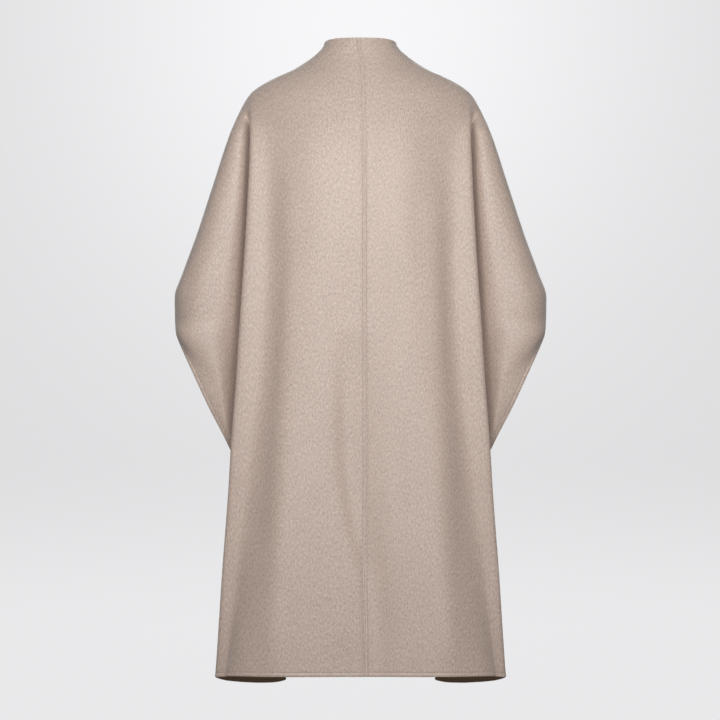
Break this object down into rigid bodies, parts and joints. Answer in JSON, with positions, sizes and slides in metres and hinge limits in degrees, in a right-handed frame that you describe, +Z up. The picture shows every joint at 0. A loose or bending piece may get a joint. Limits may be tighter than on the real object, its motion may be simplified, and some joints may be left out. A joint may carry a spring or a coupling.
{
  "type": "wool cape",
  "caption": "Long open-fronted wool cape with a grown-on funnel collar and wide sleeves, filled out as worn.",
  "frame": {"origin": "centre of the base of the neck, where the shoulders of a wearer carry the cape", "axes": "+Z up along the wearer, +X towards the wearer's left, +Y out of the wearer's back; the open front faces -Y"},
  "size_m": [0.7076, 0.3211, 1.22],
  "materials": {
    "wool": "matt brushed double-face wool, beige melange"
  },
  "bodies": {
    "root": {"back_left": "wool", "back_right": "wool", "front_left": "wool", "front_right": "wool"}
  },
  "joints": []
}
